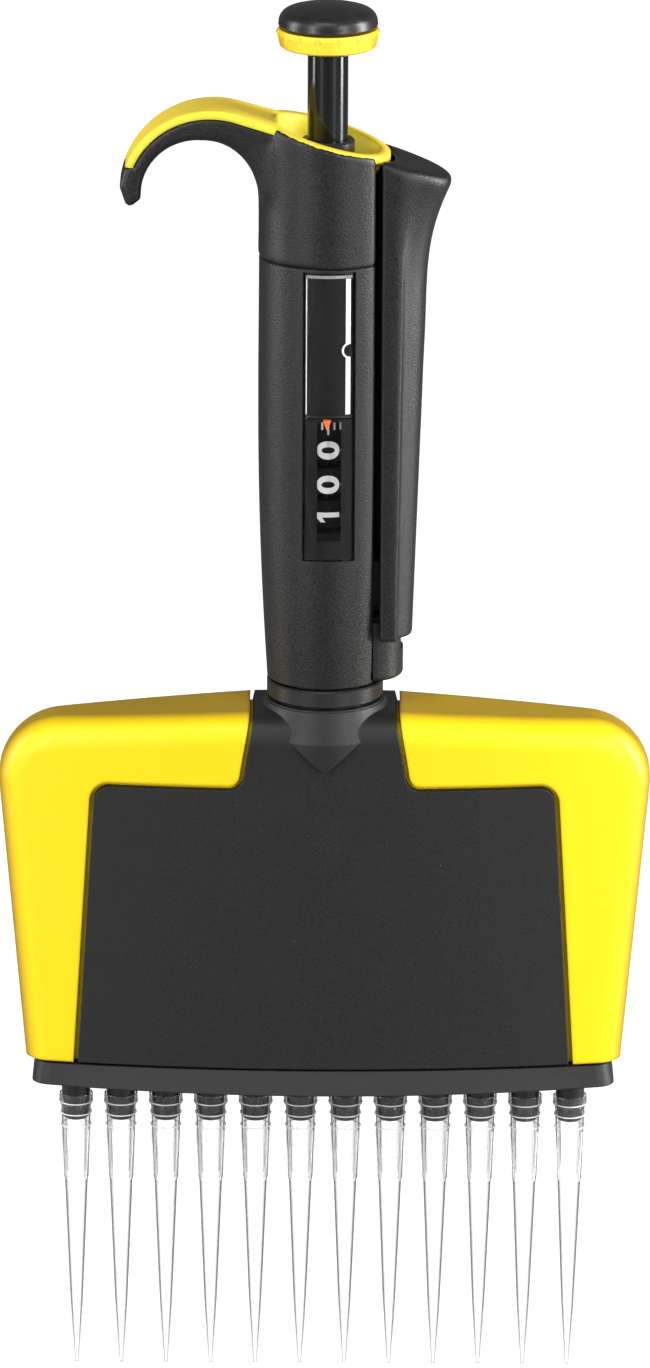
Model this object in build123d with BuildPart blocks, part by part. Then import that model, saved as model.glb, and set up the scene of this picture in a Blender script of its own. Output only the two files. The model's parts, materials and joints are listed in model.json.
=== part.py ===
"""Twelve-channel adjustable pipette, modelled as the separate pieces it comes apart into.

Frame: millimetres, +Z up along the plunger axis. Z = 0 is the plane of the tip ends.
-Y is the front, with the volume display and the front cover. The finger hook points to -X and the
thumb ejector is on +X. The twelve channels stand in a row along X, 9 mm apart.
"""

from build123d import *
from math import atan2, cos, degrees, pi, radians, sin, sqrt
import os

os.makedirs("parts", exist_ok=True)

# ---------------------------------------------------------------- driving dimensions
PITCH = 9.0  # microplate well pitch
CHANNELS = 12
ASPIRATE = 13.5  # piston travel for the full 100 ul
BLOW_OUT = 3.0  # extra travel past the first stop
EJECT = 7.0  # travel of the ejector button and comb
SLIP = 0.05  # radial running clearance

# tips and cones
TIP_RIM = 57.6
TIP_LEDGE = 40.0
TIP_COLLAR_R = 3.35
TIP_WALL = 0.32
CONE_END = 52.5
CONE_R_END = 2.58
CONE_R_TOP = 2.85

# head
COMB_BOTTOM = 62.3
COMB_TOP = 66.6
COVER_BOTTOM = 67.0
HEAD_TOP = 139.8  # at the neck
HEAD_TOP_END = 137.6  # where the top edge meets the corner
HEAD_HALF_TOP = 64.6
HEAD_HALF_BOTTOM = 59.4
CORNER_R = 13.0
LENS_T = 12.6  # half thickness on the axis
LENS_R = 318.0  # radius of the bulged front and back faces
WALL = 1.8
COVER_GAP = 0.9
LIP = 1.2  # depth of the side covers' lip behind the panel
LIP_GAP = 0.1
RIM_FILLET = 5.5

# neck
NECK_R = 11.55
NECK_TOP = 141.2
HUB_LOW = 127.6
HUB_R = 10.2
COLLAR_FOOT_R = 14.4  # skirt of the collar, which runs out in a point on the front and on the back
COLLAR_FOOT_IN = 10.9
COLLAR_POINT = 129.0
RING_BOTTOM = 141.7
RING_TOP = 145.1
GRIP_BOTTOM = 145.7
SEAM = 231.2

# handle
FLAT_X = 9.4  # flat side that the ejector runs along
BORE_R = 10.3
BORE_FLAT = 7.8
WINDOW_X = 0.5
WINDOW_HALF = 5.1
WINDOW_LOW = 172.0
WINDOW_SPLIT = 201.0
WINDOW_HIGH = 230.4
FLOOR_TOP = 149.0

# top of the handle
TOP_SLOPE = -0.289
HOUSING_A = 13.55
HOUSING_B = 12.75
INLAY = 1.4
HOOK_OUTER_R = 18.1
HOOK_OUTER_X = -22.5
HOOK_OUTER_Z = 243.0
HOOK_R = 11.4  # round underside that hangs on a rail
HOOK_X = -24.9
HOOK_Z = 243.8
HOOK_HALF = 7.8
HOOK_HALF_TIP = 5.4
OPENING_R = 10.6
RIM_R = 12.3
POCKET_FLOOR = 246.0

# ejector button
BUTTON_X = 10.6
BUTTON_LOW = 154.6
BUTTON_HALF = 8.9
FLARE_LOW = 228.0
BUTTON_WALL = 1.5
TONGUE_Y = (6.2, 7.0)  # guide tongue at the rear of the button, in a groove of the flat side
TONGUE_LOW = 165.3
TONGUE_TOP = 248.0
BRACKET_LOW = 159.0
BRACKET_HIGH = 165.0
BRACKET_HALF = 1.4
LINK_X = 7.9
LINK_R = 0.7
SPRING_X = 12.6

# knob and plunger
TUBE_R = 3.95
TUBE_BORE = 3.4
TUBE_LOW = 222.0
KNOB_BASE = 272.8
KNOB_SPLIT = 276.5
KNOB_TOP = 281.4
KNOB_R = 10.1
CAP_R = 9.7
PADS = 16
ROD_R = 1.5
COLLAR_LOW = 164.0
COLLAR_HIGH = 166.0
COLLAR_R = 3.9

# counter
DRUM_R = 7.6
SPINDLE_R = 3.3
SPINDLE_BORE = 2.0
SKIRT_R = 6.7
SKIRT_BORE = 6.0
CARRY_TEETH = 20
PINION_TEETH = 8
TOOTH_MODULE = 0.5
PINION_AT = (CARRY_TEETH + PINION_TEETH) * TOOTH_MODULE / 2
UNITS_LOW = 191.2
TENS_LOW = 184.5
HUNDREDS_LOW = 177.8
DRUM_HIGH = 5.2
UNITS_HIGH = 9.6

# stop and springs in the neck
SPIGOT_R = 6.6
SPIGOT_BORE = 5.2
SPIGOT_LOW = 124.0
LEDGE_HIGH = 140.0
WASHER_TOP = COLLAR_LOW - ASPIRATE
NUT_LOW = 166.2
NUT_HIGH = 170.2
YOKE_TOP = 122.0
YOKE_LOW = 119.4

# piston drive in the head
PISTON_R = sqrt(100 / (pi * ASPIRATE))
CONE_BORE = 1.7
PLATE_LOW = 68.0
PLATE_HIGH = 73.0
BARREL_TOP = 80.0
BARREL_R = 3.3
BAR_LOW = 101.0
BAR_HIGH = 105.5
ROD_END = 107.0
GUIDE_X = 27.0
GUIDE_Y = 6.2
GUIDE_R = 1.2
DECK_HALF = 53.6
DECK_DEPTH = 5.0
YOKE_ROD_X = 55.6
YOKE_ROD_R = 1.3
SCREW_X = (15.5, 41.5)
SCREW_Z = 109.0
SCREW_SEAT = 8.0

channel_spots = [(PITCH * (i - (CHANNELS - 1) / 2), 0) for i in range(CHANNELS)]
guide_spots = [(-GUIDE_X, GUIDE_Y), (GUIDE_X, -GUIDE_Y)]
screw_spots = [(side * x, SCREW_Z) for side in (-1, 1) for x in SCREW_X]


# ---------------------------------------------------------------- shared helpers
def save(builder, name):
    """Labels a finished piece and writes it as its own STEP file."""
    builder.part.label = name
    export_step(builder.part, f"parts/{name}.step")


def at_channels(piece):
    """A group of separate solids: one copy of piece in each channel."""
    with BuildPart() as group:
        with Locations(*channel_spots):
            add(piece.part)
    return group


def tube(r_out, r_in, low, high):
    """A plain bush, sleeve or washer on the plunger axis."""
    with BuildPart() as piece:
        with BuildSketch(Plane.XY.offset(low)):
            Circle(r_out)
            Circle(r_in, mode=Mode.SUBTRACT)
        extrude(amount=high - low)
    return piece


def turned(points):
    """A turned piece: the closed (radius, height) outline spun about Z."""
    with BuildPart() as piece:
        with BuildSketch(Plane.XZ):
            with BuildLine():
                Polyline(*points, close=True)
            make_face()
        revolve(axis=Axis.Z)
    return piece


def coil(wire_r, mean_r, low, high, turns, x=0.0, y=0.0):
    """A round-wire compression spring between two heights."""
    height = high - low - 2 * wire_r
    with BuildPart() as piece:
        with BuildLine():
            Helix(pitch=height / turns, height=height, radius=mean_r, center=(x, y, low + wire_r))
        with BuildSketch(Plane(origin=(x + mean_r, y, low + wire_r), z_dir=(0, 1, 0))):
            Circle(wire_r)
        sweep(is_frenet=True)
    return piece


def block(low, high):
    """A box given by its lowest and highest corners."""
    size = [b - a for a, b in zip(low, high)]
    with BuildPart() as piece:
        with Locations(tuple(low)):
            Box(*size, align=(Align.MIN, Align.MIN, Align.MIN))
    return piece


def pin(r, x, y, low, high):
    """A round bar parallel to Z."""
    with BuildPart() as piece:
        with BuildSketch(Plane.XY.offset(low)):
            with Locations((x, y)):
                Circle(r)
        extrude(amount=high - low)
    return piece


# ---------------------------------------------------------------- disposable tips
def make_tips():
    """Tapered tip with a collar at the rim, a ledge where it widens, and eight outside ribs."""
    outer = [(0.42, 0), (0.80, 5.0), (1.24, 13.5), (2.28, TIP_LEDGE - 0.8), (2.50, TIP_LEDGE), (2.96, 55.2)]
    rim = [(TIP_COLLAR_R, 55.7), (TIP_COLLAR_R, TIP_RIM), (CONE_R_TOP + 0.14, TIP_RIM)]
    inner = [(CONE_R_END + 0.03, CONE_END), (2.14, TIP_LEDGE), (1.95, TIP_LEDGE - 1.2)]
    inner += [(1.24 - TIP_WALL, 13.5), (0.80 - TIP_WALL, 5.0), (0.22, 0)]
    one = turned(outer + rim + inner)
    with BuildPart() as rib:
        with BuildSketch(Plane.XZ):
            with BuildLine():
                Polyline((2.4, TIP_LEDGE), (2.72, TIP_LEDGE + 0.3), (3.14, 55.2), (2.8, 55.2), close=True)
            make_face()
        extrude(amount=0.15, both=True)
    with BuildPart() as ribbed:
        add(one.part)
        with PolarLocations(0, 8):
            add(rib.part)
    return at_channels(ribbed)


save(make_tips(), "tips")


# ---------------------------------------------------------------- cones, cylinders and deck
def make_cones():
    """One-piece cone and cylinder barrel, clamped in the deck by its flange."""
    one = turned([
        (0.8, CONE_END), (CONE_R_END - 0.35, CONE_END), (CONE_R_END, CONE_END + 0.5),
        (CONE_R_TOP, TIP_RIM), (CONE_R_TOP, PLATE_LOW), (3.2, PLATE_LOW), (3.2, PLATE_HIGH),
        (4.1, PLATE_HIGH), (4.1, 75.0), (BARREL_R, 75.0), (BARREL_R, BARREL_TOP),
        (CONE_BORE, BARREL_TOP), (CONE_BORE, 59.0), (0.8, 58.0),
    ])
    return at_channels(one)


def make_deck():
    """Plate across the head that carries the twelve barrels and the guide rods."""
    with BuildPart() as deck:
        with BuildSketch(Plane.XY.offset(PLATE_LOW)):
            RectangleRounded(2 * DECK_HALF, 2 * DECK_DEPTH, 2.5)
            with Locations(*guide_spots):
                Circle(2.6)
            with Locations(*channel_spots):
                Circle(3.2, mode=Mode.SUBTRACT)
            with Locations(*guide_spots):
                Circle(GUIDE_R, mode=Mode.SUBTRACT)
        extrude(amount=PLATE_HIGH - PLATE_LOW)
    return deck


def make_seal_retainer():
    """Strip that holds the piston seals down on the barrels."""
    with BuildPart() as strip:
        with BuildSketch(Plane.XY.offset(81.6)):
            RectangleRounded(2 * DECK_HALF, 7.4, 2.0)
            with Locations(*channel_spots):
                Circle(1.9, mode=Mode.SUBTRACT)
        extrude(amount=1.6)
    return strip


save(make_cones(), "tip_cones")
save(make_deck(), "cylinder_deck")
seal = turned([
    (PISTON_R + 0.02, BARREL_TOP), (2.9, BARREL_TOP), (2.9, 81.6), (PISTON_R + 0.02, 81.6),
])
save(at_channels(seal), "piston_seals")
save(make_seal_retainer(), "seal_retainer")

with BuildPart() as guide_rods:
    with BuildSketch(Plane.XY.offset(PLATE_LOW)):
        with Locations(*guide_spots):
            Circle(GUIDE_R)
    extrude(amount=111.8 - PLATE_LOW)
save(guide_rods, "guide_rods")


# ---------------------------------------------------------------- piston carriage
def make_bar():
    """Bar that moves all twelve pistons together, running on the two guide rods."""
    with BuildPart() as bar:
        with BuildSketch(Plane.XY.offset(BAR_LOW)):
            RectangleRounded(2 * DECK_HALF, 9.0, 2.0)
            with Locations(*guide_spots):
                Circle(2.6)
            with Locations(*guide_spots):
                Circle(GUIDE_R + SLIP, mode=Mode.SUBTRACT)
        extrude(amount=BAR_HIGH - BAR_LOW)
        with BuildSketch(Plane.XY.offset(BAR_LOW)):
            with Locations(*channel_spots):
                Circle(1.2)
        extrude(amount=3.0, mode=Mode.SUBTRACT)
    return bar


piston = turned([
    (0, 77.0), (PISTON_R - 0.2, 77.0), (PISTON_R, 77.2), (PISTON_R, BAR_LOW),
    (1.2, BAR_LOW), (1.2, BAR_LOW + 3.0), (0, BAR_LOW + 3.0),
])
save(at_channels(piston), "pistons")
save(make_bar(), "piston_bar")
save(tube(3.6, 0.6, BAR_HIGH, ROD_END), "push_pad")

with BuildPart() as carriage_springs:
    for spot_x, spot_y in guide_spots:
        add(coil(0.25, 2.0, PLATE_HIGH, BAR_LOW, 12, spot_x, spot_y).part)
save(carriage_springs, "carriage_springs")


# ---------------------------------------------------------------- head covers
def head_half(z):
    """Half width of the head at height z: its sides taper towards the tips."""
    share = (z - COVER_BOTTOM) / (124.5 - COVER_BOTTOM)
    return HEAD_HALF_BOTTOM + share * (HEAD_HALF_TOP - HEAD_HALF_BOTTOM)


def head_column(inset=0.0, bottom=COVER_BOTTOM):
    """Front view of the head, carried through its whole depth; inset moves the edge inwards."""
    top_x = HEAD_HALF_TOP - CORNER_R
    drop = HEAD_TOP - HEAD_TOP_END
    end_z = HEAD_TOP - drop * (head_half(137) - 14.0) / (top_x - 14.0)
    side = [(head_half(bottom) - inset, bottom), (head_half(end_z) - inset, end_z - inset)]
    right = side + [(14.0, HEAD_TOP - inset)]
    left = [(-x, z) for x, z in reversed(right)]
    with BuildPart() as column:
        with BuildSketch(Plane.XZ) as view:
            with BuildLine():
                Polyline(*right, *left, close=True)
            make_face()
            fillet(view.vertices().filter_by(lambda v: abs(v.X) > 40 and v.Y > 130), CORNER_R - inset)
        extrude(amount=20.0, both=True)
    return column


def panel_column(grow=0.0):
    """Front view of the dark centre: a wide panel with a narrow neck piece on top."""
    half = [(49.3, 60.0), (45.4, 124.9), (16.4, 124.9), (13.2, HEAD_TOP + 4)]
    with BuildPart() as column:
        with BuildSketch(Plane.XZ) as view:
            with BuildLine():
                Polyline(*half, *[(-x, z) for x, z in reversed(half)], close=True)
            make_face()
            fillet(view.vertices().filter_by(lambda v: 120 < v.Y < 130), 3.2)
            if grow:
                offset(amount=grow, mode=Mode.REPLACE)
        extrude(amount=20.0, both=True)
    return column


def lens_block(shrink=0.0):
    """The slab between the bulged front and back faces of the head."""
    with BuildPart() as slab:
        with BuildSketch(Plane.XY.offset(60.0)):
            with Locations((0, LENS_R - LENS_T + shrink)):
                Circle(LENS_R)
            with Locations((0, LENS_T - shrink - LENS_R)):
                Circle(LENS_R, mode=Mode.INTERSECT)
        extrude(amount=90.0)
    return slab


def head_form(inset, rim_fillet, bottom):
    """Closed form of the head, or of the space inside it when inset is the wall."""
    column = head_column(inset, bottom)
    slab = lens_block(inset)
    with BuildPart() as form:
        add(column.part)
        add(slab.part, mode=Mode.INTERSECT)
        rims = form.edges().filter_by(lambda e: abs(e.center().Y) > 3 and e.center().Z > bottom + 1)
        fillet(rims, rim_fillet)
    return form


outer_head = head_form(0.0, RIM_FILLET, COVER_BOTTOM)
inner_head = head_form(WALL, RIM_FILLET - WALL, COVER_BOTTOM - 4)


def make_skirt(column):
    """Flared skirt of the collar, narrowing downwards to a point, inside the dark centre."""
    flare = turned([
        (COLLAR_FOOT_IN, 128.2), (COLLAR_FOOT_R, 128.2), (COLLAR_FOOT_R, 135.0), (NECK_R + 0.3, 140.9),
        (COLLAR_FOOT_IN, 140.9),
    ])
    with BuildPart() as skirt:
        with BuildSketch(Plane.XZ):
            with BuildLine():
                Polyline((0, COLLAR_POINT), (COLLAR_FOOT_R, 141.5), (-COLLAR_FOOT_R, 141.5), close=True)
            make_face()
        extrude(amount=20.0, both=True)
        add(flare.part, mode=Mode.INTERSECT)
        add(column.part, mode=Mode.INTERSECT)
    return skirt


def make_centre_shell():
    """Both dark head covers in one: the wide panel, and the collar that turns on the neck."""
    column = panel_column()
    collar = tube(NECK_R, HUB_R + SLIP, HUB_LOW, NECK_TOP)
    skirt = make_skirt(column)
    with BuildPart() as shell:
        add(outer_head.part)
        add(inner_head.part, mode=Mode.SUBTRACT)
        add(column.part, mode=Mode.INTERSECT)
        with BuildSketch(Plane.XY.offset(HUB_LOW)):
            Circle(NECK_R)
        extrude(amount=NECK_TOP - HUB_LOW, mode=Mode.SUBTRACT)
        add(collar.part)
        add(skirt.part)
    return shell


def make_bosses():
    """Screw bosses and deck feet of both head covers, trimmed to the form of the head."""
    with BuildPart() as bosses:
        with BuildSketch(Plane.XZ):
            with Locations(*screw_spots):
                Circle(2.4)
        extrude(amount=15.0, both=True)
        for y in (-DECK_DEPTH, DECK_DEPTH):
            with BuildSketch(Plane.XZ.offset(-y)):
                with Locations(*[(x, 70.5) for x in (-36.0, -18.0, 18.0, 36.0)]):
                    Circle(2.0)
            extrude(amount=-8.0 if y > 0 else 8.0)
        add(outer_head.part, mode=Mode.INTERSECT)
    return bosses


def make_cover(shell, bosses, front):
    """One half of the centre shell, with its screw bosses and the feet that clamp the deck."""
    with BuildPart() as cover:
        add(shell.part)
        add(bosses.part)
        split(bisect_by=Plane.XZ, keep=Keep.TOP if front else Keep.BOTTOM)
        with BuildSketch(Plane.XZ):
            with Locations(*screw_spots):
                Circle(1.0)
        extrude(amount=6.0 if front else -20.0, mode=Mode.SUBTRACT)
        if not front:
            with BuildSketch(Plane.XZ.offset(-SCREW_SEAT)):
                with Locations(*screw_spots):
                    Circle(2.0)
            extrude(amount=-8.0, mode=Mode.SUBTRACT)
    return cover


centre_shell = make_centre_shell()
head_bosses = make_bosses()
save(make_cover(centre_shell, head_bosses, True), "head_front_cover")
save(make_cover(centre_shell, head_bosses, False), "head_rear_cover")

with BuildPart() as head_screws:
    with BuildSketch(Plane.XZ.offset(-SCREW_SEAT)):
        with Locations(*screw_spots):
            Circle(1.9)
    extrude(amount=-1.5)
    with BuildSketch(Plane.XZ.offset(-SCREW_SEAT - 0.8)):
        with Locations(*screw_spots):
            Rectangle(2.6, 0.6)
            Rectangle(0.6, 2.6)
    extrude(amount=-2.0, mode=Mode.SUBTRACT)
    with BuildSketch(Plane.XZ.offset(-SCREW_SEAT)):
        with Locations(*screw_spots):
            Circle(0.98)
    extrude(amount=SCREW_SEAT + 5.0)
save(head_screws, "head_screws")


def make_side_covers():
    """Both L-shaped side covers in one: flank, arm over the shoulder, and a lip behind the panel."""
    lip_face = head_form(WALL + LIP_GAP, RIM_FILLET - WALL - LIP_GAP, COVER_BOTTOM)
    lip_back = head_form(WALL + LIP, RIM_FILLET - WALL - LIP, COVER_BOTTOM - 4)
    beside_gap = panel_column(COVER_GAP)
    with BuildPart() as lip:
        add(lip_face.part)
        add(lip_back.part, mode=Mode.SUBTRACT)
        add(panel_column(COVER_GAP + 0.01).part, mode=Mode.INTERSECT)
        add(panel_column(-2.0).part, mode=Mode.SUBTRACT)
    with BuildPart() as band:
        add(outer_head.part)
        add(lip_back.part, mode=Mode.SUBTRACT)
        add(panel_column(COVER_GAP + 2.0).part, mode=Mode.INTERSECT)
        add(beside_gap.part, mode=Mode.SUBTRACT)
    with BuildPart() as covers:
        add(outer_head.part)
        add(inner_head.part, mode=Mode.SUBTRACT)
        add(beside_gap.part, mode=Mode.SUBTRACT)
        add(band.part)
        add(lip.part)
        with BuildSketch(Plane.XY.offset(HUB_LOW)):
            Circle(NECK_R + 0.3)
        extrude(amount=NECK_TOP - HUB_LOW, mode=Mode.SUBTRACT)
    return covers


side_covers = make_side_covers()
for name, keep in (("side_cover_left", Keep.BOTTOM), ("side_cover_right", Keep.TOP)):
    with BuildPart() as side_cover:
        add(side_covers.part)
        split(bisect_by=Plane.YZ, keep=keep)
    save(side_cover, name)


# ---------------------------------------------------------------- comb and yoke
def comb_plan(z, half_x, depth, bulge):
    """Plan section of the comb: straight ends with rounded corners and two bulged long sides."""
    with BuildSketch(Plane.XY.offset(z)) as plan:
        with BuildLine():
            Line((-half_x, -depth), (-half_x, depth))
            ThreePointArc((-half_x, depth), (0, depth + bulge), (half_x, depth))
            Line((half_x, depth), (half_x, -depth))
            ThreePointArc((half_x, -depth), (0, -depth - bulge), (-half_x, -depth))
        make_face()
        fillet(plan.vertices(), 4.0)
    return plan


def make_comb():
    """Tray with a hole for each cone; it pushes the tips off by their rims."""
    with BuildPart() as comb:
        add(comb_plan(COMB_BOTTOM, 58.1, 8.2, 7.2).sketch)
        add(comb_plan(COMB_TOP, 57.3, 7.9, 4.7).sketch)
        loft()
        with BuildSketch(Plane.XY.offset(COMB_BOTTOM + 1.8)):
            RectangleRounded(2 * 51.6, 12.0, 3.0)
        extrude(amount=5.0, mode=Mode.SUBTRACT)
        with BuildSketch(Plane.XY.offset(COMB_BOTTOM)):
            with Locations(*channel_spots):
                Circle(CONE_R_TOP + 0.2)
        extrude(amount=5.0, mode=Mode.SUBTRACT)
        with BuildSketch(Plane.XY.offset(COMB_BOTTOM + 1.6)):
            with Locations((-YOKE_ROD_X, 0), (YOKE_ROD_X, 0)):
                Circle(YOKE_ROD_R)
        extrude(amount=5.0, mode=Mode.SUBTRACT)
    return comb


def make_yoke():
    """Ring that the ejector link presses on at any swivel angle, with an arm to each side."""
    with BuildPart() as yoke:
        with BuildSketch(Plane.XY.offset(YOKE_LOW)):
            Circle(9.9)
            Rectangle(2 * (YOKE_ROD_X + 2.0), 4.6)
            Circle(4.6, mode=Mode.SUBTRACT)
            with Locations((-YOKE_ROD_X, 0), (YOKE_ROD_X, 0)):
                Circle(YOKE_ROD_R, mode=Mode.SUBTRACT)
        extrude(amount=YOKE_TOP - YOKE_LOW)
    return yoke


save(make_comb(), "ejector_comb")
save(make_yoke(), "ejector_yoke")

with BuildPart() as comb_rods:
    with BuildSketch(Plane.XY.offset(COMB_BOTTOM + 1.6)):
        with Locations((-YOKE_ROD_X, 0), (YOKE_ROD_X, 0)):
            Circle(YOKE_ROD_R)
    extrude(amount=YOKE_TOP - COMB_BOTTOM - 1.6)
save(comb_rods, "comb_rods")


# ---------------------------------------------------------------- neck: swivel, spigot, springs
def make_swivel_ring():
    """Ring seen between handle and head, with the journal that the head turns on below it."""
    with BuildPart() as ring:
        add(turned([
            (SPIGOT_R, 125.0), (HUB_R, 125.0), (HUB_R, 126.0), (9.6, 126.0), (9.6, 127.2),
            (HUB_R, 127.2), (HUB_R, RING_BOTTOM), (11.2, RING_BOTTOM), (11.5, RING_BOTTOM + 0.3),
            (11.5, RING_TOP - 0.3), (11.2, RING_TOP), (SPIGOT_R, RING_TOP),
        ]).part)
        add(pin(LINK_R + 0.15, LINK_X, 0, 120.0, 150.0).part, mode=Mode.SUBTRACT)
    return ring


save(make_swivel_ring(), "swivel_ring")

with BuildPart() as retaining_ring:
    with BuildSketch(Plane.XY.offset(126.1)):
        Circle(10.7)
        Circle(9.6, mode=Mode.SUBTRACT)
        with Locations((0, 10.2)):
            Rectangle(3.0, 3.0, mode=Mode.SUBTRACT)
    extrude(amount=1.0)
save(retaining_ring, "retaining_ring")

save(turned([
    (SPIGOT_BORE, SPIGOT_LOW), (SPIGOT_R, SPIGOT_LOW), (SPIGOT_R, 150.4), (SPIGOT_BORE, 150.4),
    (SPIGOT_BORE, LEDGE_HIGH), (3.1, LEDGE_HIGH), (3.1, LEDGE_HIGH - 2.0),
    (SPIGOT_BORE, LEDGE_HIGH - 2.0),
]), "neck_spigot")
save(tube(SPIGOT_BORE, ROD_R + 0.1, SPIGOT_LOW, SPIGOT_LOW + 2.0), "spring_seat")
save(tube(5.1, 3.1, WASHER_TOP - 1.0, WASHER_TOP), "blowout_washer")
save(tube(SPIGOT_R, COLLAR_R + 0.2, WASHER_TOP + 0.1, WASHER_TOP + 1.6), "washer_keeper")
save(coil(0.36, 4.1, LEDGE_HIGH, WASHER_TOP - 1.0, 6), "blowout_spring")
save(coil(0.4, 2.5, SPIGOT_LOW + 2.0, COLLAR_LOW, 13), "return_spring")


# ---------------------------------------------------------------- plunger
save(tube(COLLAR_R, ROD_R, COLLAR_LOW, COLLAR_HIGH), "stop_collar")
save(pin(ROD_R, 0, 0, ROD_END, 274.2), "push_rod")
save(turned([
    (TUBE_BORE, TUBE_LOW), (TUBE_R, TUBE_LOW), (TUBE_R, 271.6), (5.0, 271.6), (5.0, KNOB_BASE),
    (TUBE_R, KNOB_BASE), (TUBE_R, 274.2), (ROD_R, 274.2), (ROD_R, 271.6), (TUBE_BORE, 271.6),
]), "plunger_tube")


def make_dial_ring():
    """Grooved ring that is turned to set the volume."""
    with BuildPart() as ring:
        with BuildSketch(Plane.XZ):
            with BuildLine():
                Polyline((TUBE_R, KNOB_BASE), (9.0, KNOB_BASE), (9.4, KNOB_BASE + 0.3))
                Line((9.4, KNOB_BASE + 0.3), (KNOB_R, KNOB_SPLIT - 0.8))
                Line((KNOB_R, KNOB_SPLIT - 0.8), (KNOB_R - 0.5, KNOB_SPLIT))
                Polyline((KNOB_R - 0.5, KNOB_SPLIT), (6.1, KNOB_SPLIT), (6.1, 274.2), (TUBE_R, 274.2))
                Line((TUBE_R, 274.2), (TUBE_R, KNOB_BASE))
            make_face()
        revolve(axis=Axis.Z)
        with BuildSketch(Plane.XY.offset(KNOB_BASE)):
            with PolarLocations(KNOB_R + 0.1, PADS, start_angle=180 / PADS):
                Circle(0.55)
        extrude(amount=5.0, mode=Mode.SUBTRACT)
    return ring


def make_cap():
    """Shallow domed thumb cap with a boss that sits in the dial ring."""
    rim_z = KNOB_SPLIT + 0.35
    dome_x, dome_z = CAP_R - 2.2, 280.25
    dome_r = (dome_x**2 + (KNOB_TOP - dome_z) ** 2) / (2 * (KNOB_TOP - dome_z))
    halfway = (dome_x / 2, KNOB_TOP - dome_r + sqrt(dome_r**2 - (dome_x / 2) ** 2))
    with BuildPart() as cap:
        with BuildSketch(Plane.XZ):
            with BuildLine():
                Polyline((0, 274.3), (6.0, 274.3), (6.0, rim_z), (CAP_R - 0.3, rim_z))
                Polyline((CAP_R - 0.3, rim_z), (CAP_R, rim_z + 0.4), (CAP_R - 0.1, 278.2))
                ThreePointArc((CAP_R - 0.1, 278.2), (CAP_R - 0.8, 279.5), (dome_x, dome_z))
                ThreePointArc((dome_x, dome_z), halfway, (0, KNOB_TOP))
                Line((0, KNOB_TOP), (0, 274.3))
            make_face()
        revolve(axis=Axis.Z)
    return cap


save(make_dial_ring(), "dial_ring")
save(make_cap(), "knob_cap")


# ---------------------------------------------------------------- volume counter
def gear(teeth, root, tip, root_half, tip_half, low, high, bore, turn=0.0, at=(0, 0)):
    """Spur gear with straight-flanked teeth; a half width is that of one tooth at root or tip."""
    corners = []
    for i in range(teeth):
        for r, half in ((root, -root_half), (tip, -tip_half), (tip, tip_half), (root, root_half)):
            angle = 2 * pi * i / teeth + half / r + radians(turn)
            corners.append((r * cos(angle), r * sin(angle)))
    with BuildPart() as wheel:
        with BuildSketch(Plane((at[0], at[1], low))):
            with BuildLine():
                Polyline(*corners, close=True)
            make_face()
            Circle(bore, mode=Mode.SUBTRACT)
        extrude(amount=high - low)
    return wheel


def make_drum(low, height, bore, with_gear):
    """Number drum: a rim on a thin web, and on top the gear that the carry pinion turns."""
    high = low + height
    body = turned([
        (bore, low), (DRUM_R, low), (DRUM_R, high), (DRUM_R - 0.9, high), (DRUM_R - 0.9, low + 0.9),
        (4.5, low + 0.9), (4.5, high), (bore, high),
    ])
    with BuildPart() as drum:
        add(body.part)
        if with_gear:
            add(gear(CARRY_TEETH, 4.45, 5.35, 0.38, 0.16, high, high + 1.25, bore).part)
    return drum


def make_counter_frame():
    """Rear cradle of the drums, with a fin and an axle for each carry pinion."""
    with BuildPart() as frame:
        with BuildSketch(Plane.XY.offset(172.0)):
            Circle(10.2)
            Circle(7.8, mode=Mode.SUBTRACT)
            with Locations((-15.0 + 7.6, 12.0)):
                Rectangle(30.0, 21.0, mode=Mode.INTERSECT)
        extrude(amount=32.6)
        for fin in (HUNDREDS_LOW + DRUM_HIGH + 0.05, TENS_LOW + DRUM_HIGH + 0.05):
            with BuildSketch(Plane.XY.offset(fin)):
                Circle(8.4)
                Circle(5.6, mode=Mode.SUBTRACT)
                with Locations((0, 8.0)):
                    Rectangle(7.0, 8.0, mode=Mode.INTERSECT)
            extrude(amount=0.4)
            add(pin(2.6, 0, PINION_AT, fin + 0.4, fin + 1.3).part, mode=Mode.SUBTRACT)
            add(pin(0.5, 0, PINION_AT, fin + 0.2, fin + 1.15).part)
    return frame


def make_pinion(drum_low):
    """Carry pinion that passes a step on from one drum to the next."""
    low = drum_low + DRUM_HIGH + 0.5
    turn = 180 / PINION_TEETH
    return gear(PINION_TEETH, 1.45, 2.32, 0.33, 0.12, low, low + 0.65, 0.58, turn, (0, PINION_AT))


save(turned([
    (SPINDLE_BORE, 170.6), (SKIRT_BORE, 170.6), (SKIRT_BORE, 152.6), (SKIRT_R, 152.6),
    (SKIRT_R, 171.6), (SPINDLE_R, 171.6), (SPINDLE_R, 254.4), (SPINDLE_BORE, 254.4),
]), "counter_spindle")
save(make_drum(UNITS_LOW, UNITS_HIGH, SPINDLE_R, False), "units_drum")
save(make_drum(TENS_LOW, DRUM_HIGH, SPINDLE_R + SLIP, True), "tens_drum")
save(make_drum(HUNDREDS_LOW, DRUM_HIGH, SPINDLE_R + SLIP, True), "hundreds_drum")
save(make_pinion(TENS_LOW), "carry_pinion_tens")
save(make_pinion(HUNDREDS_LOW), "carry_pinion_hundreds")
save(make_counter_frame(), "counter_frame")
save(tube(7.75, SPINDLE_R + SLIP, 172.0, 176.4), "lower_bearing")
save(tube(7.75, SPINDLE_R + SLIP, 201.4, 204.6), "upper_bearing")

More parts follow.
